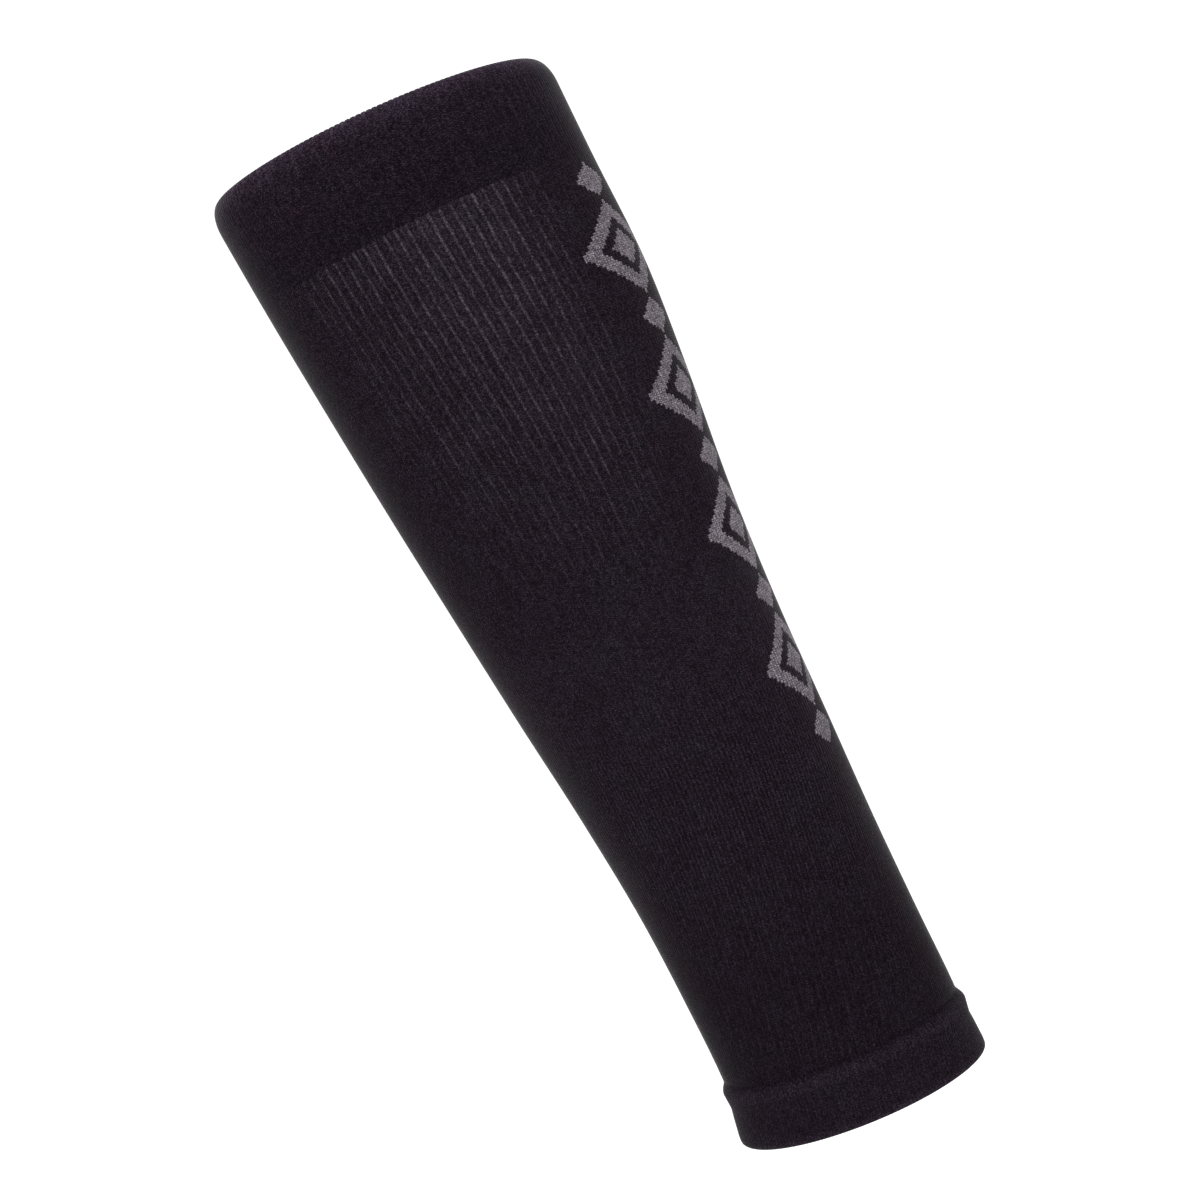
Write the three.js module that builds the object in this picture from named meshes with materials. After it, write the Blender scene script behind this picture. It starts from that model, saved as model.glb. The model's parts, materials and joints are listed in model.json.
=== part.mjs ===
// Arm compression sleeve for the forearm: a seamless knitted tube in three zones.
// A doubled band grips below the elbow, the body carries a ribbed panel on its front,
// and a doubled cuff closes on the wrist. The tube keeps the form that it has on the limb.
// Millimetres, +Z up. The origin is the middle of the elbow opening and the sleeve hangs below it.
// -Y is the front, where the ribbed panel is, and the outline bellies a little towards +X.

import * as THREE from "three";
import { mergeGeometries, mergeVertices } from "three/addons/utils/BufferGeometryUtils.js";

// Driving dimensions
const SLEEVE_LENGTH = 240;
const BAND_HEIGHT = 25;
const CUFF_HEIGHT = 14.8;
const KNIT_WALL = 1.2; // one layer of stretched knit
const BAND_WALL = 2; // two layers, folded over at the elbow edge
const CUFF_PROUD = 1.15; // the cuff's second layer stands out from the body
const ZONE_GAP = 0.3; // between two zones of the tube

// The worn outline: distance below the elbow edge, outer half width there, how far the limb's
// middle lies towards +X, how steeply the knitted courses drop towards +X, and depth over width.
const OUTLINE = [
  { down: 0, radius: 41.2, shift: 0, slope: 0.05, depth: 0.97 },
  { down: 25, radius: 40.3, shift: 0.3, slope: 0.022, depth: 0.97 },
  { down: 50, radius: 39.4, shift: 0.9, slope: 0.02, depth: 0.97 },
  { down: 77, radius: 37.1, shift: 0.4, slope: 0.03, depth: 0.97 },
  { down: 104, radius: 34.3, shift: -0.3, slope: 0.04, depth: 0.97 },
  { down: 131, radius: 32.0, shift: -0.4, slope: 0.05, depth: 0.96 },
  { down: 158, radius: 30.05, shift: 0.1, slope: 0.06, depth: 0.96 },
  { down: 185, radius: 28.5, shift: 0.2, slope: 0.067, depth: 0.95 },
  { down: 205, radius: 28.1, shift: -0.1, slope: 0.075, depth: 0.95 },
  { down: 227, radius: 28.1, shift: -0.7, slope: 0.085, depth: 0.95 },
  { down: SLEEVE_LENGTH, radius: 28.2, shift: -1.9, slope: 0.083, depth: 0.95 },
];

// Ribbed panel: knitted in pairs of wales, deepest under the band and running out below.
const WALES = 196; // knitted columns round the tube
const RIB_ANGLE = (2 * 2 * Math.PI) / WALES;
const PANEL_RIBS = 24;
const PANEL_MIDDLE = -1.5 * RIB_ANGLE; // from the front, towards -X
const RIB_DEPTH = 0.5;
const PANEL_FADE = { sideRibs: 3, from: 50, to: 125 };

// Band section: its elbow edge draws in to a crest, turns over a lip and runs back to the inner wall.
const BAND_CREST = { inset: 2.8, rounding: 6 };
const BAND_LIP = { inset: 3.8, rounding: 1.5 };
const BAND_LIP_END = 10;

// Cuff section: a rolled lip at its upper edge, a slack waist, a fuller belly and a round hem.
const CUFF_LIP = { round: 1.05, height: 2.8 };
const CUFF_WAIST = { share: 0.42, slack: 0.4 };
const CUFF_BELLY = { share: 0.86, swell: 0.25 };
const HEM_ROUNDING = 1;

// Facets
const TUBE_SIDES = 56; // round the band and the cuff
const BACK_SIDES = 34; // round the body, outside its panel
const BODY_ROWS = 14;
const LINING_ROWS = 8;
const BAND_ROWS = 4;
const ROUND_STEPS = 4;

const BODY_TOP = BAND_HEIGHT + ZONE_GAP;
const CUFF_TOP = SLEEVE_LENGTH - CUFF_HEIGHT;
const BODY_BOTTOM = CUFF_TOP - ZONE_GAP;

const BODY_KNIT = { color: 0x1f191f, roughness: 0.92, metalness: 0 };
const WELT_KNIT = { color: 0x1d181e, roughness: 0.9, metalness: 0 };

const outlineCurve = new THREE.CubicInterpolant(
  OUTLINE.map((row) => row.down),
  OUTLINE.flatMap((row) => [row.radius, row.shift, row.slope, row.depth]),
  4,
);

// The worn outline at a distance below the elbow edge.
function outlineAt(down) {
  const [radius, shift, slope, depth] = outlineCurve.evaluate(down);
  return { radius, shift, slope, depth };
}

// Evenly spaced values from one end to the other, both included.
function spread(from, to, count) {
  return Array.from({ length: count }, (_, i) => THREE.MathUtils.lerp(from, to, i / (count - 1)));
}

// A point of a wall's section: how far inside the worn outline, and how far below the elbow edge.
function sectionPoint(inset, down) {
  return new THREE.Vector2(outlineAt(down).radius - inset, -down);
}

// A quarter-round stretch of a section. It leaves its start along the limb and meets its end across it.
function quarterRound(start, end) {
  return spread(0, Math.PI / 2, ROUND_STEPS).map((turn) =>
    sectionPoint(
      THREE.MathUtils.lerp(start.inset, end.inset, 1 - Math.cos(turn)),
      THREE.MathUtils.lerp(start.down, end.down, Math.sin(turn)),
    ),
  );
}

// A fold of knit from one inset to another over a crest.
function fold(from, crest, to) {
  return [...quarterRound(from, crest), ...quarterRound(to, crest).toReversed().slice(1)];
}

// Depth of the groove between two ribs, at an angle from the front and a distance below the elbow edge.
function ribGroove(angle, down) {
  const ribsFromMiddle = Math.abs(angle - PANEL_MIDDLE) / RIB_ANGLE;
  const halfRibs = Math.round(2 * ribsFromMiddle);
  if (halfRibs % 2 === 0) return 0;
  const edge = PANEL_RIBS / 2;
  const across = 1 - THREE.MathUtils.smoothstep(ribsFromMiddle, edge - PANEL_FADE.sideRibs, edge);
  const along = 1 - THREE.MathUtils.smoothstep(down, PANEL_FADE.from, PANEL_FADE.to);
  return RIB_DEPTH * across * along;
}

// Moves a straight round tube to the worn form: oval, off centre and with sloping courses.
function wear(tube, ribbed) {
  const place = tube.getAttribute("position");
  for (let i = 0; i < place.count; i++) {
    const down = -place.getY(i);
    const angle = Math.atan2(place.getX(i), place.getZ(i));
    const outline = outlineAt(down);
    let reach = Math.hypot(place.getX(i), place.getZ(i));
    const onOutside = reach > outline.radius - KNIT_WALL / 2;
    if (ribbed && onOutside) reach -= ribGroove(angle, down);
    const across = reach * Math.sin(angle);
    const towardsFront = reach * Math.cos(angle) * outline.depth;
    place.setXYZ(i, across + outline.shift, -towardsFront, -down - outline.slope * across);
  }
  return tube;
}

// A closed tube wall from its section, turned round the limb in one or more arcs of facets.
function tubeWall(section, arcs, ribbed = false) {
  const ring = [...section, section[0]];
  const turned = arcs.map(({ start, length, sides }) => new THREE.LatheGeometry(ring, sides, start, length));
  const tube = wear(mergeGeometries(turned), ribbed);
  tube.deleteAttribute("normal");
  tube.deleteAttribute("uv");
  const closed = mergeVertices(tube, 1e-3);
  closed.computeVertexNormals();
  return closed;
}

const FULL_TURN = [{ start: 0, length: 2 * Math.PI, sides: TUBE_SIDES }];

// The doubled band: a straight wall whose two layers meet in a fold that draws in at the elbow edge.
function upperBand() {
  const outside = spread(BAND_HEIGHT, BAND_LIP_END, BAND_ROWS).map((down) => sectionPoint(0, down));
  const inside = spread(BAND_LIP_END, BAND_HEIGHT, BAND_ROWS).map((down) => sectionPoint(BAND_WALL, down));
  const edge = fold(
    { inset: 0, down: BAND_CREST.rounding },
    { inset: BAND_CREST.inset, down: 0 },
    { inset: BAND_LIP.inset, down: BAND_LIP.rounding },
  );
  return tubeWall([...outside, ...edge, ...inside], FULL_TURN);
}

// The body: one layer of knit, with the ribs of the panel worked into its outside.
function sleeveBody() {
  const outside = spread(BODY_BOTTOM, BODY_TOP, BODY_ROWS).map((down) => sectionPoint(0, down));
  const inside = spread(BODY_TOP, BODY_BOTTOM, LINING_ROWS).map((down) => sectionPoint(KNIT_WALL, down));
  const panel = PANEL_RIBS * RIB_ANGLE;
  const arcs = [
    { start: PANEL_MIDDLE - panel / 2, length: panel, sides: 2 * PANEL_RIBS },
    { start: PANEL_MIDDLE + panel / 2, length: 2 * Math.PI - panel, sides: BACK_SIDES },
  ];
  return tubeWall([...outside, ...inside], arcs, true);
}

// The doubled cuff: proud of the body, from its folded hem up over belly and waist to its rolled lip.
function lowerCuff() {
  const bellyInset = -CUFF_PROUD - CUFF_BELLY.swell;
  const hem = fold(
    { inset: KNIT_WALL, down: SLEEVE_LENGTH - HEM_ROUNDING },
    { inset: (KNIT_WALL + bellyInset) / 2, down: SLEEVE_LENGTH },
    { inset: bellyInset, down: SLEEVE_LENGTH - HEM_ROUNDING },
  );
  const belly = sectionPoint(bellyInset, CUFF_TOP + CUFF_BELLY.share * CUFF_HEIGHT);
  const waist = sectionPoint(-CUFF_PROUD + CUFF_WAIST.slack, CUFF_TOP + CUFF_WAIST.share * CUFF_HEIGHT);
  const lip = quarterRound(
    { inset: -CUFF_PROUD, down: CUFF_TOP + CUFF_LIP.height },
    { inset: CUFF_LIP.round - CUFF_PROUD, down: CUFF_TOP },
  );
  const innerEdge = sectionPoint(KNIT_WALL, CUFF_TOP);
  return tubeWall([...hem, belly, waist, ...lip, innerEdge], FULL_TURN);
}

// A named piece of the sleeve.
function piece(name, geometry, finish) {
  const mesh = new THREE.Mesh(geometry, new THREE.MeshStandardMaterial(finish));
  mesh.name = name;
  return mesh;
}

const sleeve = new THREE.Group();
sleeve.add(piece("upper_band", upperBand(), WELT_KNIT));
sleeve.add(piece("sleeve_body", sleeveBody(), BODY_KNIT));
sleeve.add(piece("lower_cuff", lowerCuff(), WELT_KNIT));

export default sleeve;
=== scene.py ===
# %% [markdown]
# # A knitted arm compression sleeve
# The sleeve is one seamless tube of black nylon and elastane, knitted round and round on a small
# circular machine. It has three zones: a doubled band that grips below the elbow, a single-layer body
# with a ribbed panel on its front, and a doubled cuff at the wrist. We dress a plain solid of each zone
# with a finer shell that shows the knitted columns, which knitters call wales, and the rows, which
# they call courses. First we load those solids, which stay where they are and give us the true sizes.

# %% Load the fixed solids
import json
import math

import bmesh
import bpy
import numpy as np
from mathutils import Matrix

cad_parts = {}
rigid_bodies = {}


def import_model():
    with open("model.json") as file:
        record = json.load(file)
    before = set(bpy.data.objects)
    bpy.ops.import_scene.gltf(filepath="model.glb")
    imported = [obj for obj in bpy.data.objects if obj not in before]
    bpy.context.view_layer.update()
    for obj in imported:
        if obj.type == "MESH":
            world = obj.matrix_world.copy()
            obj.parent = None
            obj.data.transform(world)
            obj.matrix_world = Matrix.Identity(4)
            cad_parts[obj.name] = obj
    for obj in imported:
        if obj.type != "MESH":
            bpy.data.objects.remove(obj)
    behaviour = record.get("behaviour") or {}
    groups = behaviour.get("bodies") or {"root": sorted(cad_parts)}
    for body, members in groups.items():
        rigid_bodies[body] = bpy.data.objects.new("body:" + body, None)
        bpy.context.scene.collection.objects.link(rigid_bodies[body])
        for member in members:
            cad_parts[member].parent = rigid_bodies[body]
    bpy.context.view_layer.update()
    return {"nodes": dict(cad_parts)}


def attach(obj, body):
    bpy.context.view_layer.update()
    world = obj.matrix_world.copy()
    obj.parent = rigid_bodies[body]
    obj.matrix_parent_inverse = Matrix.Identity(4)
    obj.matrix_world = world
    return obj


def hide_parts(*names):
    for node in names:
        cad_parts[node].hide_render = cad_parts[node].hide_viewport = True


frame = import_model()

print("solids:", ", ".join(sorted(frame["nodes"])))

# %% [markdown]
# ## The worn outline
# A stretched sleeve has the shape of the limb, so its form is a row of sections down the forearm. We
# could trace the outline as a curve, but a table is easier to read and to change. Each row says how far
# below the elbow edge it lies, its half width, how far its middle lies to the right, how steeply the
# courses drop to the right, its depth over its width, and how far the knit is twisted round the limb
# there, because a sleeve is never pulled on quite straight. A smooth curve runs through the rows.

# %% Sections of the worn outline, in millimetres and degrees
MM = 0.001
SLEEVE_LENGTH = 240
OUTLINE = np.array(
    [
        # down, radius, shift, slope, depth, twist
        (0, 41.2, 0.0, 0.050, 0.97, 0),
        (25, 40.3, 0.3, 0.022, 0.97, 0),
        (50, 39.4, 0.9, 0.020, 0.97, 0.8),
        (77, 37.1, 0.4, 0.030, 0.97, 3.3),
        (104, 34.3, -0.3, 0.040, 0.97, 4.5),
        (131, 32.0, -0.4, 0.050, 0.96, 4.4),
        (158, 30.05, 0.1, 0.060, 0.96, 1.3),
        (185, 28.5, 0.2, 0.067, 0.95, -5.9),
        (205, 28.1, -0.1, 0.075, 0.95, -12.7),
        (227, 28.1, -0.7, 0.085, 0.95, -21.6),
        (SLEEVE_LENGTH, 28.2, -1.9, 0.083, 0.95, -23.6),
    ]
)
DOWNS = OUTLINE[:, 0]
BENDS = np.gradient(OUTLINE[:, 1:], DOWNS, axis=0)


def section_at(down):
    """Radius, shift, slope, depth and twist at one distance below the elbow edge, or at many."""
    down = np.clip(down, DOWNS[0], DOWNS[-1])
    row = np.clip(np.searchsorted(DOWNS, down, side="right") - 1, 0, len(DOWNS) - 2)
    span = np.expand_dims(DOWNS[row + 1] - DOWNS[row], -1)
    t = np.expand_dims(down - DOWNS[row], -1) / span
    from_start = (1 + 2 * t) * (1 - t) ** 2 * OUTLINE[row, 1:] + t * (1 - t) ** 2 * span * BENDS[row]
    from_end = (3 - 2 * t) * t**2 * OUTLINE[row + 1, 1:] - (1 - t) * t**2 * span * BENDS[row + 1]
    return (from_start + from_end).T


for down in (0, SLEEVE_LENGTH / 2, SLEEVE_LENGTH):
    print(f"{down:.0f} mm down: half width {section_at(down)[0]:.1f} mm")

# %% [markdown]
# ## The camera
# We set the camera early, so that every test render already has the right view. The sleeve hangs
# straight down in its own frame, and the picture shows it leaning, so the camera rolls instead of the
# sleeve. A long lens from 60 cm away, a touch above the middle, gives the rims their gentle bulge.

# %% Add the camera, in millimetres and degrees
CAMERA_DISTANCE = 601.6
CAMERA_ACROSS = -3.48
CAMERA_DOWN = 114.17  # the height that the camera looks at, below the elbow edge
CAMERA_TILT = 1.825
CAMERA_ROLL = 27.4
PICTURE_WIDTH = 267.95  # millimetres across the picture at the sleeve's middle
SENSOR_WIDTH = 36

looking_down = math.radians(CAMERA_TILT)
bpy.ops.object.select_all(action="DESELECT")
bpy.ops.object.camera_add(
    location=(
        CAMERA_ACROSS * MM,
        -CAMERA_DISTANCE * math.cos(looking_down) * MM,
        (CAMERA_DISTANCE * math.sin(looking_down) - CAMERA_DOWN) * MM,
    )
)
camera = bpy.context.object
camera.name = "camera"
tilt = Matrix.Rotation(math.pi / 2 - looking_down, 4, "X")
roll = Matrix.Rotation(-math.radians(CAMERA_ROLL), 4, "Z")
camera.rotation_euler = (tilt @ roll).to_euler()
camera.data.sensor_width = SENSOR_WIDTH
camera.data.lens = SENSOR_WIDTH * CAMERA_DISTANCE / PICTURE_WIDTH
bpy.context.scene.camera = camera
print(f"camera: {camera.data.lens:.1f} mm lens")

# %% [markdown]
# ## One ring of knit, extruded down the limb
# All three zones start the same way, as a knitter casts on: one ring of stitches. We add a circle with
# four vertices for each wale and pull in the vertices between wales, so the ring is finely fluted. Then
# we extrude the ring from section to section. The fluting goes along by itself and becomes the wales.
# A texture could fake them, but real flutes also show on the edges, where light meets them sideways.

# %% Pick vertices and turn rings
WALES = 196
WALE_SIDES = 4
WALE_ANGLE = 2 * math.pi / WALES
WALE_DENT = {0: 0.09, 1: 0.03, 3: 0.03}  # how far each of a wale's vertices is pulled in, in millimetres


def pick(mesh, chosen):
    """In edit mode, selects just the vertices that are marked True, in the order of their numbers."""
    work_mesh = bmesh.from_edit_mesh(mesh)
    work_mesh.select_mode = {"VERT"}
    for vertex, wanted in zip(work_mesh.verts, chosen):
        vertex.select = bool(wanted)
    work_mesh.select_flush_mode()
    bmesh.update_edit_mesh(mesh)


def edit_points(mesh):
    """In edit mode, the places of a mesh's vertices in millimetres."""
    return np.array([vertex.co for vertex in bmesh.from_edit_mesh(mesh).verts]) / MM


def turn_ring(axis, angle, centre):
    """Turns the selected ring about its middle. With no window, the operator turns the other way."""
    bpy.ops.transform.rotate(value=-angle, orient_axis=axis, center_override=centre)


def wear_ring(section, centre):
    """Gives a level, round ring the twist, depth and slope of a section."""
    _, _, slope, depth, twist = section
    turn_ring("Z", math.radians(twist), centre)
    bpy.ops.transform.resize(value=(1, depth, 1), center_override=centre)
    turn_ring("Y", math.atan(slope), centre)


def level_ring(section, centre):
    """Makes a ring with a section's twist, depth and slope level and round again."""
    _, _, slope, depth, twist = section
    turn_ring("Y", -math.atan(slope), centre)
    bpy.ops.transform.resize(value=(1, 1 / depth, 1), center_override=centre)
    turn_ring("Z", -math.radians(twist), centre)


print(f"each ring has {WALES * WALE_SIDES} vertices, {WALE_SIDES} for each of {WALES} wales")

# %% [markdown]
# A route says where the ring goes: pairs of how far inside the worn outline it lies and how far below
# the elbow edge. At each step the ring is made level and round, widened, and worn again at its new
# place, because it is easiest to scale a ring that lies square to the axes.


# %% Cast on a ring and extrude it along a route
def cast_on(name, inset, down):
    """A new piece in edit mode: one fluted ring at a section, some way inside the worn outline."""
    section = section_at(down)
    reach = section[0] - inset
    bpy.ops.object.select_all(action="DESELECT")
    bpy.ops.mesh.primitive_circle_add(vertices=WALES * WALE_SIDES, radius=reach * MM)
    piece = bpy.context.object
    piece.name = name
    piece.data.name = name
    bpy.ops.object.mode_set(mode="EDIT")
    x, y, _ = edit_points(piece.data).T
    step = np.rint(np.arctan2(x, -y) / WALE_ANGLE * WALE_SIDES).astype(int) % WALE_SIDES
    for number, dent in WALE_DENT.items():
        pick(piece.data, step == number)
        bpy.ops.transform.resize(value=(1 - dent / reach, 1 - dent / reach, 1))
    bpy.ops.mesh.select_all(action="SELECT")
    centre = (section[1] * MM, 0, -down * MM)
    bpy.ops.transform.translate(value=centre)
    wear_ring(section, centre)
    return piece


def knit_tube(name, route):
    """Extrudes a cast-on ring along a route of (inset, down) points, and stays in edit mode."""
    piece = cast_on(name, *route[0])
    for (last_inset, last_down), (inset, down) in zip(route, route[1:]):
        last = section_at(last_down)
        section = section_at(down)
        centre = (section[1] * MM, 0, -down * MM)
        move = ((section[1] - last[1]) * MM, 0, (last_down - down) * MM)
        widen = (section[0] - inset) / (last[0] - last_inset)
        bpy.ops.mesh.extrude_region_move(TRANSFORM_OT_translate={"value": move})
        level_ring(last, centre)
        bpy.ops.transform.resize(value=(widen, widen, 1), center_override=centre)
        wear_ring(section, centre)
    return piece


def straight(inset, start, end, rows):
    """Points of a route that runs along the limb at one inset."""
    return [(inset, down) for down in np.linspace(start, end, rows)]


for end_name, end_down in (("elbow edge", 0), ("hem", SLEEVE_LENGTH)):
    print(f"a wale is {section_at(end_down)[0] * WALE_ANGLE:.2f} mm wide at the {end_name}")

# %% [markdown]
# The other way round, we also need to know where a finished vertex lies in the knit: on which wale, and
# how far down. The panel, the little teeth of the fold and the map for the stitches all ask for it.

# %% Find a place in the knit
PLACE_PASSES = 4  # each one corrects the distance down for the slope of the courses


def mesh_points(piece):
    """The places of a piece's vertices in millimetres."""
    flat = np.empty(3 * len(piece.data.vertices))
    piece.data.vertices.foreach_get("co", flat)
    return flat.reshape(-1, 3) / MM


def knit_place(points):
    """Wales from the front's middle and distance below the elbow edge, of points in millimetres."""
    x, y, z = points.T
    down = -z
    for _ in range(PLACE_PASSES):
        _, shift, slope, depth, twist = section_at(down)
        down = -z - slope * (x - shift)
    wale = (np.arctan2(x - shift, -y / depth) - np.radians(twist)) / WALE_ANGLE
    return (wale + WALES / 2) % WALES - WALES / 2, down


front_wale, front_down = knit_place(np.array([(0, -1, -SLEEVE_LENGTH / 2)]))
print(f"straight in front, half way down: wale {front_wale[0]:.1f}, {front_down[0]:.1f} mm down")

# %% [markdown]
# ## The body and its ribbed panel
# The body is the single layer between band and cuff. Under the band, on the front, every second gap
# between wales is a real groove, so pairs of wales stand up as ribs. The grooves run out towards the
# sides and down the arm, a little further down on the right.

# %% Knit the body
BAND_HEIGHT = 25
CUFF_HEIGHT = 14.8
CUFF_TOP = SLEEVE_LENGTH - CUFF_HEIGHT
SEAM = 0.02  # the hairline between two zones
BODY_ROWS = 51

body = knit_tube("sleeve_body_knit", straight(0, BAND_HEIGHT + SEAM, CUFF_TOP - SEAM, BODY_ROWS))
bpy.ops.mesh.select_all(action="SELECT")
bpy.ops.mesh.normals_make_consistent(inside=False)
bpy.ops.object.mode_set(mode="OBJECT")
print(f"body: {len(body.data.polygons)} faces in one layer")

# %% [markdown]
# One number says how fully the ribs stand out at a place in the knit. It rises and falls in smooth steps,
# because a rib that ended at a hard line would look cut off.

# %% Say where the ribs are
RIB_WALES = 2
PANEL_LEFT = (-32, -8)  # wales from the front's middle, where the ribs start and where they are whole
PANEL_RIGHT = (26, 9)
PANEL_FADE = (28, 134)  # millimetres below the elbow edge, where the ribs start to run out and are gone
PANEL_SKEW = 0.25  # millimetres further down for each wale to the right


def ease(value, start, end):
    """0 up to start, 1 from end on, and a smooth step between them."""
    t = np.clip((value - start) / (end - start), 0, 1)
    return t * t * (3 - 2 * t)


def panel_strength(wale, down):
    """How fully the ribs stand out at a place: 1 under the band, 0 at the sides and further down."""
    across = ease(wale, *PANEL_LEFT) * ease(wale, *PANEL_RIGHT)
    return across * (1 - ease(down - PANEL_SKEW * wale, *PANEL_FADE))


for down in (BAND_HEIGHT, 3 * BAND_HEIGHT):
    print(f"{down} mm down, on the front: ribs at {panel_strength(0, down):.2f} of their full depth")

# %% [markdown]
# Two helpers finish a piece. One adds a modifier and applies it. The other shades the piece smooth and
# marks its square edges as sharp, because smooth shading across them would draw false shadows.

# %% Helpers that finish a piece
SQUARE_EDGE = math.radians(60)


def finish_modifier(piece, kind, **settings):
    """Adds one modifier to a piece and applies it."""
    modifier = piece.modifiers.new(kind.title(), kind)
    for name, value in settings.items():
        setattr(modifier, name, value)
    bpy.context.view_layer.objects.active = piece
    bpy.ops.object.modifier_apply(modifier=modifier.name)


def smooth_piece(piece):
    """Shades a piece smooth, with crisp square edges, so that no false shadow lies where zones meet."""
    bpy.ops.object.select_all(action="DESELECT")
    piece.select_set(True)
    bpy.context.view_layer.objects.active = piece
    bpy.ops.object.shade_smooth()
    bpy.ops.object.mode_set(mode="EDIT")
    bpy.ops.mesh.select_mode(type="EDGE")
    bpy.ops.mesh.select_all(action="DESELECT")
    bpy.ops.mesh.edges_select_sharp(sharpness=SQUARE_EDGE)
    bpy.ops.mesh.mark_sharp()
    bpy.ops.object.mode_set(mode="OBJECT")
    print(f"{piece.name}: {len(piece.data.polygons)} faces")


print(f"edges that turn more than {math.degrees(SQUARE_EDGE):.0f} degrees stay sharp")

# %% [markdown]
# A vertex group holds how deep each groove is at each place, and a Displace modifier with no texture
# pushes those vertices in. Solidify then gives the knit its thickness and puts a second material on the
# inside. Sculpting the grooves would work too, but they have to follow the wales exactly.

# %% Sink the grooves and thicken the knit
KNIT_WALL = 1.2
RIB_DEPTH = 0.35
GROOVE_SPREAD = 0.5  # wales to each side of a groove's middle
GROOVE_POWER = 1.5  # above 1, the groove is narrower at its bottom
GROOVE_LEAST = 0.01  # shallower shares than this are left flat

wale, down = knit_place(mesh_points(body))
from_groove = np.abs(wale % RIB_WALES - RIB_WALES / 2)
depths = np.clip(1 - from_groove / GROOVE_SPREAD, 0, 1) ** GROOVE_POWER * panel_strength(wale, down)
grooves = body.vertex_groups.new(name="rib grooves")
for number in np.flatnonzero(depths > GROOVE_LEAST):
    grooves.add([int(number)], float(depths[number]), "REPLACE")
finish_modifier(body, "DISPLACE", strength=-RIB_DEPTH * MM, mid_level=0, vertex_group="rib grooves")
finish_modifier(body, "SOLIDIFY", thickness=KNIT_WALL * MM, offset=-1, material_offset=1)
smooth_piece(body)

# %% [markdown]
# ## The band at the elbow
# Both ends are welts: the knit is folded back on itself and joined to the body, so it is twice as thick
# and ends in a soft round fold instead of a cut edge. We extrude the ring up the outside, round the fold
# and down the inside, and bridge the two open rings. The fold draws in a little, because nothing holds
# it open, and it shows the loop of each wale as a tiny tooth.

# %% Knit the band
BAND_WALL = 2
BAND_CREST = (2.8, 0)  # inset and distance below the elbow edge
BAND_ROUNDING = 6
BAND_LIP = (3.8, 1.5)
BAND_LIP_END = 10
BAND_STRAIGHT_END = BAND_ROUNDING + 1
BAND_ROWS = 10
FOLD_STEPS = 9
LINING_ROWS = 6
BAND_TOOTH = 0.16
TOOTH_REACH = 0.6  # millimetres below the crest, where the teeth end


def quarter_round(start, end, steps=6):
    """Points of a quarter-round stretch that leaves its start along the limb and meets its end across."""
    turns = np.linspace(0, math.pi / 2, steps)
    insets = start[0] + (end[0] - start[0]) * (1 - np.cos(turns))
    downs = start[1] + (end[1] - start[1]) * np.sin(turns)
    return list(zip(insets, downs))


def close_tube(piece):
    """Bridges the first and last ring of a tube that has come back to its start."""
    bpy.ops.mesh.select_all(action="DESELECT")
    bpy.ops.mesh.select_non_manifold(extend=False)
    bpy.ops.mesh.bridge_edge_loops()
    bpy.ops.mesh.select_all(action="SELECT")
    bpy.ops.mesh.normals_make_consistent(inside=False)
    bpy.ops.object.mode_set(mode="OBJECT")
    smooth_piece(piece)


band = knit_tube(
    "upper_band_knit",
    [
        *straight(0, BAND_HEIGHT, BAND_STRAIGHT_END, BAND_ROWS),
        *quarter_round((0, BAND_ROUNDING), BAND_CREST, FOLD_STEPS),
        *quarter_round(BAND_LIP, BAND_CREST)[-2::-1],
        *straight(BAND_WALL, BAND_LIP_END, BAND_HEIGHT, LINING_ROWS),
    ],
)
wale, down = knit_place(edit_points(band.data))
between_wales = np.abs(wale - np.rint(wale)) < 0.5 / WALE_SIDES
pick(band.data, between_wales & (down < TOOTH_REACH))
bpy.ops.transform.translate(value=(0, 0, -BAND_TOOTH * MM))
close_tube(band)

# %% [markdown]
# ## The cuff at the wrist
# The cuff's second layer lies on top of the body's end, so the cuff swells out of the body into a lip,
# goes slack at a shallow waist, fills again to a belly and turns in at the hem.

# %% Knit the cuff
CUFF_PROUD = 1.15
CUFF_LIP_HEIGHT = 2.8
CUFF_WAIST = (-0.75, 0.42)  # inset, and share of the cuff's height
CUFF_SWELL = (-1.05, 0.6)
CUFF_BELLY = (-1.4, 0.86)
HEM_ROUNDING = 1
CUFF_LINING_END = 3  # millimetres above the hem, where the inner layer runs straight


def swelling(start, end, steps=7):
    """Points of an S-shaped stretch that leaves its start and meets its end along the limb."""
    shares = np.linspace(0, 1, steps)
    insets = start[0] + (end[0] - start[0]) * ease(shares, 0, 1)
    downs = start[1] + (end[1] - start[1]) * shares
    return list(zip(insets, downs))


hem_crest = ((CUFF_BELLY[0] + KNIT_WALL) / 2, SLEEVE_LENGTH)
cuff = knit_tube(
    "lower_cuff_knit",
    [
        *swelling((0, CUFF_TOP), (-CUFF_PROUD, CUFF_TOP + CUFF_LIP_HEIGHT)),
        *[(inset, CUFF_TOP + share * CUFF_HEIGHT) for inset, share in (CUFF_WAIST, CUFF_SWELL, CUFF_BELLY)],
        *quarter_round((CUFF_BELLY[0], SLEEVE_LENGTH - HEM_ROUNDING), hem_crest),
        *quarter_round((KNIT_WALL, SLEEVE_LENGTH - HEM_ROUNDING), hem_crest)[-2::-1],
        *straight(KNIT_WALL, SLEEVE_LENGTH - CUFF_LINING_END, CUFF_TOP, LINING_ROWS),
    ],
)
close_tube(cuff)

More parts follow.
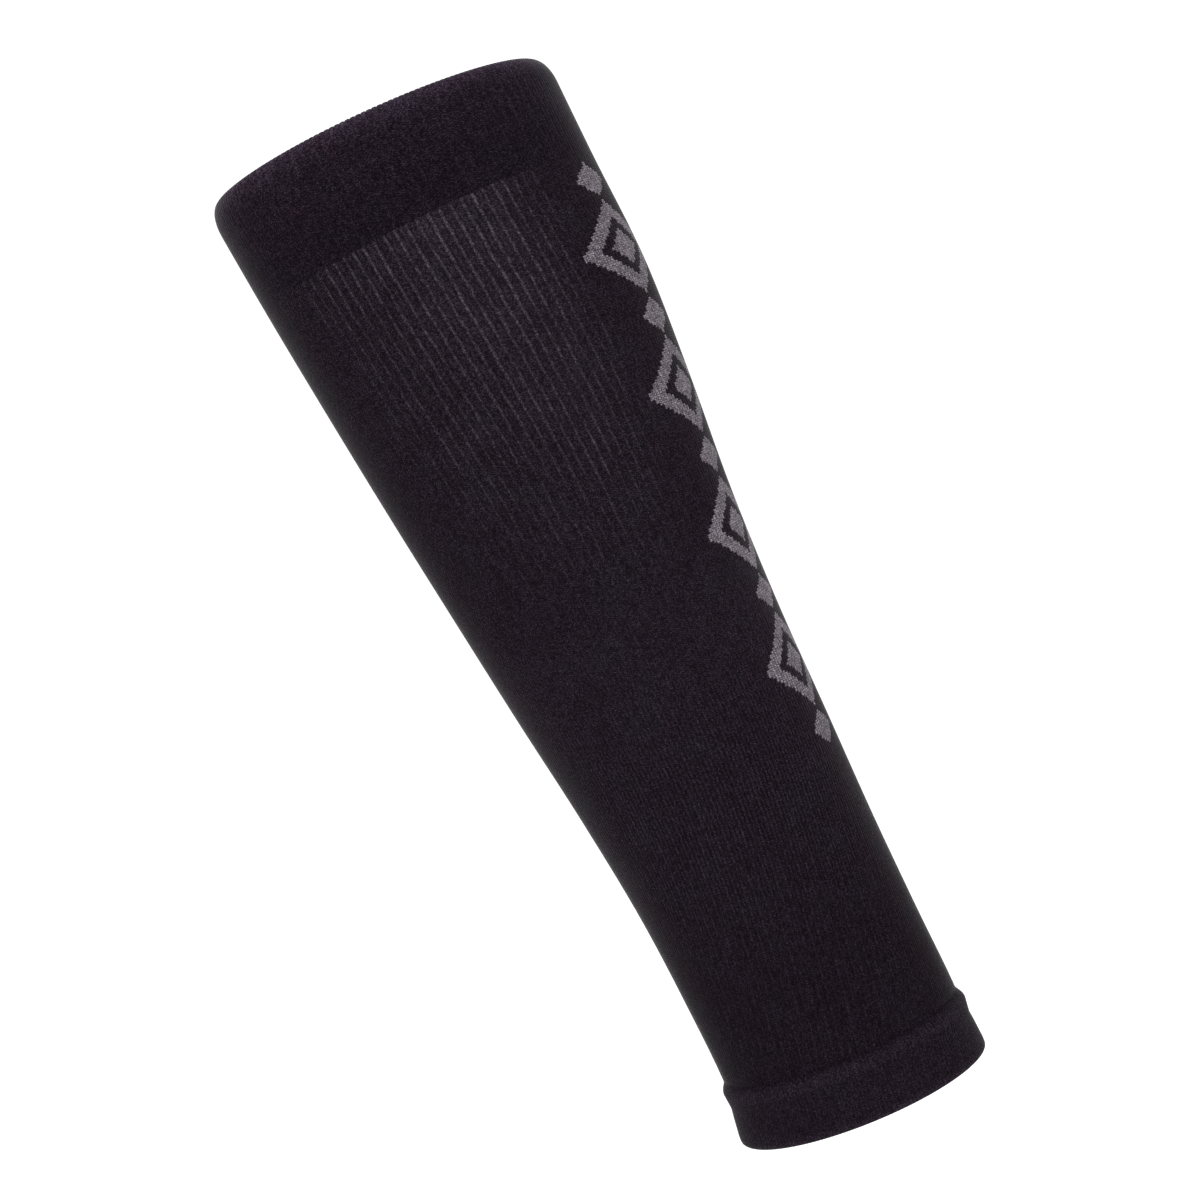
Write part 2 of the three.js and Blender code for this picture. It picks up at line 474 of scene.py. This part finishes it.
# %% [markdown]
# ## A map that counts stitches
# A knit follows its surface, so its pattern needs a UV map that does the same. Unwrapping the tube and
# stretching the islands by hand would do it, but we know where each vertex lies in the knit, so we can
# write the map exactly: one unit of U is one wale, and one unit of V is one course. The strength of the
# ribbed panel goes along as an attribute of the body.

# %% Map the wales and courses
COURSE = 0.54  # millimetres from one row of stitches to the next


def map_knit(piece):
    """Writes the UV map "knit" of a piece that is all four-sided faces."""
    wale, down = knit_place(mesh_points(piece))
    corners = np.empty(len(piece.data.loops), dtype=int)
    piece.data.loops.foreach_get("vertex_index", corners)
    u = (wale[corners] + WALES / 2).reshape(-1, 4)
    u[u < u.max(axis=1, keepdims=True) - WALES / 2] += WALES
    v = down[corners] / COURSE
    knit = piece.data.uv_layers.new(name="knit")
    knit.uv.foreach_set("vector", np.stack([u.ravel(), v], axis=1).astype(np.float32).ravel())
    print(f"{piece.name}: V from {v.min():.0f} to {v.max():.0f} courses")


for piece in (body, band, cuff):
    map_knit(piece)

panel = body.data.attributes.new("panel", "FLOAT", "POINT")
panel.data.foreach_set("value", panel_strength(*knit_place(mesh_points(body))).astype(np.float32))

# %% [markdown]
# ## Helpers for the materials
# A material is a tree of nodes. We could wire it by hand in the Shader Editor. In a script, one small
# function that adds a node, sets it and links what feeds it keeps each step to one line. Colours are
# easiest to pick as the hex codes of a colour picker, but shaders count light, so we make them linear.


# %% Helpers for materials
def linear(code):
    """An sRGB hex colour as linear RGBA."""
    parts = [int(code[i : i + 2], 16) / 255 for i in (1, 3, 5)]
    return (*[c / 12.92 if c <= 0.04045 else ((c + 0.055) / 1.055) ** 2.4 for c in parts], 1)


def add(tree, kind, *feeds, at=None, **settings):
    """Adds a node, fills its open inputs in order, or by name with at, and gives its first open output."""
    made = tree.nodes.new("ShaderNode" + kind)
    for name, value in settings.items():
        setattr(made, name, value)
    open_inputs = [socket for socket in made.inputs if socket.enabled]
    named_inputs = [(made.inputs[name], feed) for name, feed in (at or {}).items()]
    for socket, feed in [*zip(open_inputs, feeds), *named_inputs]:
        if isinstance(feed, bpy.types.NodeSocket):
            tree.links.new(feed, socket)
        else:
            socket.default_value = feed
    return next((socket for socket in made.outputs if socket.enabled), None)


def blank_material(name):
    """A new material with nothing in it, and its tree."""
    material = bpy.data.materials.new(name)
    material.use_nodes = True
    material.node_tree.nodes.clear()
    return material, material.node_tree


print("mid grey #808080 as light:", round(linear("#808080")[0], 3))

# %% [markdown]
# ## The stitches
# Plain knit shows columns of small Vs: each stitch has two legs of yarn that lean towards each other. On
# the back of the knit, the purl side, we see short bars instead, each half a row off its neighbours. The
# yarn is a bundle of fine shiny filaments, which glint here and there. Real filaments are far finer than
# a pixel, so a glint is drawn as a fifth of a wale. The gaps between wales are deepest below the middle
# of the arm, where they show as fine dark lines.

# %% Draw the stitches
LEG_LEAN = 1.3  # courses that a leg would climb over a whole wale
GLINTS = (5, 2.5)  # glints across one wale and along one course


def hump(tree, count):
    """0 at each whole number and 1 half way between two, round like a yarn."""
    turn = add(tree, "Math", count, math.pi, operation="MULTIPLY")
    return add(tree, "Math", add(tree, "Math", turn, operation="SINE"), operation="ABSOLUTE")


def along_limb(tree, v, rows):
    """A factor that changes along the limb. A row is from, to, and the factor at each end."""
    factor = 1.0
    for start, end, first, last in rows:
        span = (start / COURSE, end / COURSE, first, last)
        step = add(tree, "MapRange", v, *span, interpolation_type="SMOOTHSTEP")
        factor = add(tree, "Math", factor, step, operation="MULTIPLY")
    return factor


def stitch_nodes(tree, gaps, purl):
    """The wale and course counts, the yarn's height in a stitch, and a random number for each glint."""
    knit = add(tree, "SeparateXYZ", add(tree, "UVMap", uv_map="knit")).node.outputs
    u, v = knit["X"], knit["Y"]
    across = add(tree, "Math", add(tree, "Math", u, operation="FRACT"), 0.5, operation="SUBTRACT")
    if purl:
        right_half = add(tree, "Math", across, 0.0, operation="GREATER_THAN")
        row = add(tree, "Math", right_half, 0.5, v, operation="MULTIPLY_ADD")
    else:
        from_middle = add(tree, "Math", across, operation="ABSOLUTE")
        row = add(tree, "Math", from_middle, LEG_LEAN, v, operation="MULTIPLY_ADD")
    hollow = add(tree, "Math", 1.0, hump(tree, u), operation="SUBTRACT")
    gap = add(tree, "Math", hollow, along_limb(tree, v, gaps), operation="MULTIPLY")
    left = add(tree, "Math", 1.0, gap, operation="SUBTRACT")
    yarn = add(tree, "Math", hump(tree, row), left, operation="MULTIPLY")
    cells = add(tree, "CombineXYZ", u, row)
    cells = add(tree, "VectorMath", cells, (*GLINTS, 1), operation="MULTIPLY")
    cells = add(tree, "VectorMath", cells, operation="FLOOR")
    return u, v, yarn, add(tree, "TexWhiteNoise", cells, noise_dimensions="2D")


print(f"glints: {GLINTS[0]} across a wale, each {COURSE / GLINTS[1]:.2f} mm long")

# %% [markdown]
# ## Uneven yarn
# No knit is even. Most filaments lie dull and a few catch the light, some wales are a shade lighter over
# a few courses, and soft clouds drift between two near blacks. Where the knit is in pairs of wales, one
# of the two stands out and shows as a faint light line. Each zone also has rows along the limb that make
# it lighter or darker. Most of them are painted shading: painted highlights on folded edges, and painted
# shade in creases and down the arm.

# %% Draw the uneven yarn
GLINT_LIFT = 1.85
GLINT_RARITY = 2.5  # the power of the random number: high ones leave few glints, and bright ones
GLINT_DULLEST = 1 - GLINT_LIFT / (GLINT_RARITY + 1)  # keeps the mean of all filaments at 1
NOISE_SPAN = (0.3, 0.7)  # where nearly all of a noise texture's values lie
NOISE_APART = 7.3  # sets neighbouring wales so far apart in the noise that they look unrelated
NOISE_DETAIL = 1.0
STREAK_COURSES = 10
STREAK = 0.08  # how much lighter or darker a wale can be
CLOUD_SIZE = 9  # millimetres
CLOUD = 0.05  # how much lighter or darker a cloud can be


def wale_noise(tree, column, v, courses):
    """Noise that changes from column to column, and along each column over some courses."""
    apart = add(tree, "Math", column, NOISE_APART, operation="MULTIPLY")
    place = add(tree, "CombineXYZ", apart, add(tree, "Math", v, courses, operation="DIVIDE"))
    return add(tree, "TexNoise", place, at={"Scale": 1.0, "Detail": NOISE_DETAIL}, noise_dimensions="2D")


def uneven_nodes(tree, u, v, glint, painted_shading, pairs):
    """A factor for the light that the yarn gives back, painted shading included, and soft clouds from 0 to
    1.
    """
    column = add(tree, "Math", u, operation="FLOOR")
    streak = wale_noise(tree, column, v, STREAK_COURSES)
    place = add(tree, "TexCoord").node.outputs["Object"]
    cloud = add(tree, "TexNoise", place, at={"Scale": 1 / (CLOUD_SIZE * MM), "Detail": NOISE_DETAIL})
    cloud = add(tree, "MapRange", cloud, *NOISE_SPAN, 0, 1)
    steps = [
        add(tree, "MapRange", streak, *NOISE_SPAN, 1 - STREAK, 1 + STREAK),
        add(tree, "MapRange", cloud, 0, 1, 1 - CLOUD, 1 + CLOUD),
        along_limb(tree, v, painted_shading),
    ]
    if pairs:
        second = add(tree, "Math", column, RIB_WALES, operation="FLOORED_MODULO")
        ridge = add(tree, "Math", second, hump(tree, u), operation="MULTIPLY")
        steps.append(add(tree, "Math", ridge, along_limb(tree, v, pairs), 1.0, operation="MULTIPLY_ADD"))
    rare = add(tree, "Math", glint, GLINT_RARITY, operation="POWER")
    factor = add(tree, "Math", rare, GLINT_LIFT, GLINT_DULLEST, operation="MULTIPLY_ADD")
    for step in steps:
        factor = add(tree, "Math", factor, step, operation="MULTIPLY")
    return factor, cloud


print(f"filaments give back {GLINT_DULLEST:.2f} to {GLINT_DULLEST + GLINT_LIFT:.2f} of the mean light")

# %% [markdown]
# ## The rib lines
# In the grooves of the panel the bare elastic shows through as thin greyish lines, and faintly in the
# gap between the two wales of a rib too. They are broken and a little wavy, as each is a row of single
# stitches, and they are brightest under the band. There the panel is also stretched most, so all of
# its yarn is thinner and looks paler.

# %% Draw the rib lines
LINE_WIDTH = (0.4, 0.04)  # wales from a line's middle, where it begins and where it is full
LINE_FAINT = 0.13  # strength of the lines in the middles of the ribs
LINE_WAVE = 0.3  # wales that a line can stray from side to side
LINE_WAVE_COURSES = 9
LINE_PATCH = 0.5  # what a line can lose over some courses
LINE_PATCH_COURSES = 20
LINE_DASH = 0.4  # what it can lose in a single stitch
LINE_START = 1.3  # how strongly it starts
LINE_START_SPAN = (1, 14)  # millimetres below the band, over which it falls to its usual strength
PANEL_GLOW = 0.28  # how much paler the panel's yarn is where it is whole
GLOW_POWER = 2  # keeps the glow near the band, where the panel is whole
GLOW_LEFT = (-16, 2)  # wales from the front's middle, where the glow starts and where it is whole


def rib_nodes(tree, u, v):
    """How much of the elastic shows, from 0 to 1, and a factor for the paler yarn."""
    panel = add(tree, "Attribute", attribute_name="panel").node.outputs["Fac"]
    stretch = add(tree, "Math", panel, GLOW_POWER, operation="POWER")
    left = [WALES / 2 + wale for wale in GLOW_LEFT]
    fade = add(tree, "MapRange", u, *left, 0, 1, interpolation_type="SMOOTHSTEP")
    stretch = add(tree, "Math", stretch, fade, operation="MULTIPLY")
    glow = add(tree, "Math", stretch, PANEL_GLOW, 1.0, operation="MULTIPLY_ADD")
    rib = add(tree, "Math", add(tree, "Math", u, RIB_WALES, operation="DIVIDE"), operation="FLOOR")
    wave = add(tree, "Math", wale_noise(tree, rib, v, LINE_WAVE_COURSES), 0.5, operation="SUBTRACT")
    waved = add(tree, "Math", wave, LINE_WAVE, u, operation="MULTIPLY_ADD")
    nearest = add(tree, "Math", waved, operation="ROUND")
    off_line = add(tree, "Math", waved, nearest, operation="SUBTRACT")
    off_line = add(tree, "Math", off_line, operation="ABSOLUTE")
    line = add(tree, "MapRange", off_line, *LINE_WIDTH, 0, 1, interpolation_type="SMOOTHSTEP")
    in_groove = add(tree, "Math", nearest, RIB_WALES, operation="FLOORED_MODULO")
    stitch = add(tree, "CombineXYZ", nearest, add(tree, "Math", v, operation="FLOOR"))
    dash = add(tree, "TexWhiteNoise", stitch, noise_dimensions="2D")
    patch = wale_noise(tree, rib, v, LINE_PATCH_COURSES)
    start = [(BAND_HEIGHT + span) / COURSE for span in LINE_START_SPAN]
    steps = [
        add(tree, "MapRange", in_groove, 0, 1, LINE_FAINT, 1),
        add(tree, "MapRange", patch, *NOISE_SPAN, 1 - LINE_PATCH, 1),
        add(tree, "MapRange", dash, 0, 1, 1 - LINE_DASH, 1),
        add(tree, "MapRange", v, *start, LINE_START, 1),
        panel,
    ]
    for step in steps:
        line = add(tree, "Math", line, step, operation="MULTIPLY")
    return line, glow


print(f"rib lines: every {RIB_WALES} wales, from {BAND_HEIGHT} to about {PANEL_FADE[1]} mm down")

# %% [markdown]
# ## The knitted figures
# A machine knits a figure by changing the yarn for single stitches, so its edge goes in steps of a whole
# stitch. We do the same: the distance to a lozenge is worked out at the middle of each stitch. The
# figures are a plain column of lozenges, large and small by turns, down the outer side of the arm.

# %% Draw the figures
FIGURE_WALE = 133.5  # the column's middle on the map
FIGURE_START = 27  # millimetres below the elbow edge
FIGURE_REPEAT = 32  # millimetres from one large lozenge to the next
FIGURE_ROWS = 4
SMALL_LOZENGE = (4, 4, 6)  # middle and half height in millimetres, half width in wales
LARGE_LOZENGE = (20, 11, 14)
HOLLOW_RING = (0.5, 0.13)  # where the black ring in a large lozenge lies, and half its width
FIGURE_LENGTH = FIGURE_ROWS * FIGURE_REPEAT + 2 * SMALL_LOZENGE[1]


def figure_nodes(tree, u, v):
    """1 where a stitch is grey, and 0 elsewhere."""
    wale = add(tree, "Math", u, operation="FLOOR")
    aside = add(tree, "Math", wale, 0.5 - FIGURE_WALE, operation="ADD")
    aside = add(tree, "Math", aside, operation="ABSOLUTE")
    course = add(tree, "Math", v, operation="FLOOR")
    along = add(tree, "Math", course, COURSE, -FIGURE_START, operation="MULTIPLY_ADD")
    place = add(tree, "Math", along, FIGURE_REPEAT, operation="FLOORED_MODULO")
    reaches = []
    for middle, half_height, half_wales in (SMALL_LOZENGE, LARGE_LOZENGE):
        high = add(tree, "Math", place, middle, operation="SUBTRACT")
        high = add(tree, "Math", high, operation="ABSOLUTE")
        high = add(tree, "Math", high, half_height, operation="DIVIDE")
        wide = add(tree, "Math", aside, half_wales, operation="DIVIDE")
        reaches.append(add(tree, "Math", high, wide, operation="ADD"))
    small, large = [add(tree, "Math", reach, 1.0, operation="LESS_THAN") for reach in reaches]
    ring = add(tree, "Math", reaches[1], *HOLLOW_RING, operation="COMPARE")
    large = add(tree, "Math", large, ring, operation="SUBTRACT")
    grey = add(tree, "Math", small, large, operation="MAXIMUM")
    limits = [
        add(tree, "Math", along, 0.0, operation="GREATER_THAN"),
        add(tree, "Math", along, FIGURE_LENGTH, operation="LESS_THAN"),
    ]
    for limit in limits:
        grey = add(tree, "Math", grey, limit, operation="MULTIPLY")
    return grey


print(f"figures: {FIGURE_ROWS} large and {FIGURE_ROWS + 1} small lozenges over {FIGURE_LENGTH} mm")

# %% [markdown]
# ## The knit materials
# All the zones are the same yarn: a black with a breath of purple, nearly matt. Smooth filaments reflect
# most where we look along them, so the round edges have a thin pale rim. A Principled shader does that by
# itself with a little specular and a fairly low roughness, and the bump of the stitches softens it. The
# filaments lie smoothest over the slim part of the arm, so the rim is a little brighter there.

# %% Make the knit materials
BLACK_GAP = linear("#120e13")
GREY_GAP = linear("#3c373d")
GREY_YARN = linear("#787178")
ELASTIC = linear("#474048")
STITCH_RELIEF = 0.025  # millimetres
ROUGHNESS = 0.12
SPECULAR = 0.0038
SHINE = [(85, 140, 1, 1.45), (180, 212, 1, 0.74)]  # rows along the limb, for the specular


def knit_material(name, blacks, gaps, pairs=(), painted_shading=(), ribs=False, figures=False, purl=False):
    """A knit of black yarn, with rows along the limb, painted shading among them, and ribs and figures if
    wanted.
    """
    material, tree = blank_material(name)
    u, v, yarn, glint = stitch_nodes(tree, gaps, purl)
    factor, cloud = uneven_nodes(tree, u, v, glint, painted_shading, pairs)
    black = add(tree, "Mix", cloud, *[linear(code) for code in blacks], data_type="RGBA")
    colour = add(tree, "Mix", yarn, BLACK_GAP, black, data_type="RGBA")
    if ribs:
        line, glow = rib_nodes(tree, u, v)
        factor = add(tree, "Math", factor, glow, operation="MULTIPLY")
        colour = add(tree, "Mix", line, colour, ELASTIC, data_type="RGBA")
    if figures:
        grey = add(tree, "Mix", yarn, GREY_GAP, GREY_YARN, data_type="RGBA")
        colour = add(tree, "Mix", figure_nodes(tree, u, v), colour, grey, data_type="RGBA")
    colour = add(tree, "Mix", 1.0, colour, factor, data_type="RGBA", blend_type="MULTIPLY")
    relief = add(tree, "Bump", at={"Height": yarn, "Distance": STITCH_RELIEF * MM})
    shine = add(tree, "Math", along_limb(tree, v, SHINE), SPECULAR, operation="MULTIPLY")
    finish = {"Base Color": colour, "Normal": relief, "Roughness": ROUGHNESS, "Specular IOR Level": shine}
    add(tree, "OutputMaterial", add(tree, "BsdfPrincipled", at=finish))
    print(f"{name}: {len(tree.nodes)} nodes")
    return material


# %% [markdown]
# The body grows a little lighter from 100 to 148 mm down, and is then painted darker towards the wrist,
# as painted shade of light that falls off down the limb. Near the wrist the dark gaps between wales fade,
# as the stitches close up. The band's fold has a painted highlight along its edge, and the band is darker
# towards its lower end. The cuff's lip has painted shade in the crease above it and under it, and a
# painted highlight on its crest, and the hem has a painted highlight along its edge. The inside of the
# body has no painted shading, only the tone of its purl side.

# %% Dress the three zones
# Rows: from and to, in millimetres below the elbow edge, and the factor at each end
# Gaps are how much darker the gaps between wales are, and pairs how much lighter every second wale is
BODY_GAPS = [(120, 156, 0.25, 1), (168, 205, 1, 0.36)]
BODY_PAIRS = [(140, 185, 0, 0.23)]
# a little lighter from 100 to 148 mm, then painted shade: darker towards the wrist
BODY_PAINTED_SHADING = [(100, 148, 0.87, 1.03), (155, 212, 1, 0.655)]
BAND_GAPS = [(0, BAND_HEIGHT, 0.12, 0.12)]
BAND_PAIRS = [(0, BAND_HEIGHT, 0.2, 0.2)]
# painted highlight along the fold at the elbow edge, then darker towards the band's lower end
BAND_PAINTED_SHADING = [(0, 3, 1.25, 1), (0.5, 7, 1.65, 1), (8, 20, 1, 0.8)]
CUFF_GAPS = [(CUFF_TOP, SLEEVE_LENGTH, 0.5, 0.5)]
CUFF_PAIRS = [(CUFF_TOP, SLEEVE_LENGTH, 0.11, 0.11)]
# painted shade in the crease above the lip and under it, painted highlight on its crest and along the hem
CUFF_PAINTED_SHADING = [(225.3, 227.1, 0.72, 1.34), (228.4, 229.6, 1, 0.76), (237.5, 240, 1, 1.75)]
BODY_BLACKS = ("#261d25", "#231e25")
BAND_BLACKS = ("#221922", "#1f1a22")
CUFF_BLACKS = ("#211921", "#1e1920")

# plain knit: fine Vs, dull with small glints
plain_knit = knit_material(
    "black nylon plain knit", BODY_BLACKS, BODY_GAPS, BODY_PAIRS, BODY_PAINTED_SHADING, ribs=True, figures=True
)
# the back of the knit: short bars that look woolly
purl_knit = knit_material("black nylon purl knit", BODY_BLACKS, BODY_GAPS, purl=True)
# doubled knit: the same Vs, denser and darker over the second layer
band_knit = knit_material(
    "black nylon doubled knit at the elbow", BAND_BLACKS, BAND_GAPS, BAND_PAIRS, BAND_PAINTED_SHADING
)
cuff_knit = knit_material(
    "black nylon doubled knit at the wrist", CUFF_BLACKS, CUFF_GAPS, CUFF_PAIRS, CUFF_PAINTED_SHADING
)
for piece, materials in ((body, (plain_knit, purl_knit)), (band, (band_knit,)), (cuff, (cuff_knit,))):
    for material in materials:
        piece.data.materials.append(material)

# %% [markdown]
# ## The studio
# A white world lights the black knit evenly from all round, and its reflection makes the pale rims. One
# large soft light overhead shapes the upper edges. The sleeve is held up, as on an arm, so the white
# floor lies a little way below it. Standard colour keeps white paper white.

# %% Set up the studio
FLOOR_DOWN = 345  # millimetres below the elbow edge
FLOOR_SIZE = 6000
WORLD_LIGHT = 1.15
LIGHT_UP = 1600
LIGHT_SIZE = 1200
LIGHT_POWER = 20  # watts

bpy.ops.object.select_all(action="DESELECT")
bpy.ops.mesh.primitive_plane_add(size=FLOOR_SIZE * MM, location=(0, 0, -FLOOR_DOWN * MM))
floor = bpy.context.object
floor.name = "floor"
# matt paint: plain white with no shine at all
floor_paint, tree = blank_material("matt white studio paint")
finish = {"Base Color": linear("#f6f6f6"), "Roughness": 1.0, "Specular IOR Level": 0.0}
add(tree, "OutputMaterial", add(tree, "BsdfPrincipled", at=finish))
floor.data.materials.append(floor_paint)

bpy.ops.object.light_add(type="AREA", location=(0, 0, LIGHT_UP * MM))
soft_light = bpy.context.object
soft_light.name = "soft light"
soft_light.data.size = LIGHT_SIZE * MM
soft_light.data.energy = LIGHT_POWER

world = bpy.data.worlds.new("white studio")
world.use_nodes = True
background = world.node_tree.nodes["Background"]
background.inputs["Color"].default_value = linear("#ffffff")
background.inputs["Strength"].default_value = WORLD_LIGHT
bpy.context.scene.world = world
bpy.context.scene.view_settings.view_transform = "Standard"
print(f"floor {FLOOR_DOWN} mm below the elbow edge, light {LIGHT_UP} mm above it")

# %% [markdown]
# ## Hand over the pieces
# Each shell rides on the part's one body and stands for its solid, which is hidden. Each is also
# cloth: slit along one wale and laid flat, a zone would be as long as it is now, and narrower, as elastic
# draws in.

# %% Hand over the pieces
ZONES = (
    (body, "sleeve_body", "body_knit", BAND_HEIGHT, CUFF_TOP),
    (band, "upper_band", "welt_knit", 0, BAND_HEIGHT),
    (cuff, "lower_cuff", "welt_knit", CUFF_TOP, SLEEVE_LENGTH),
)

for piece, node, slot, start, end in ZONES:
    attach(piece, "root")
    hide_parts(node)
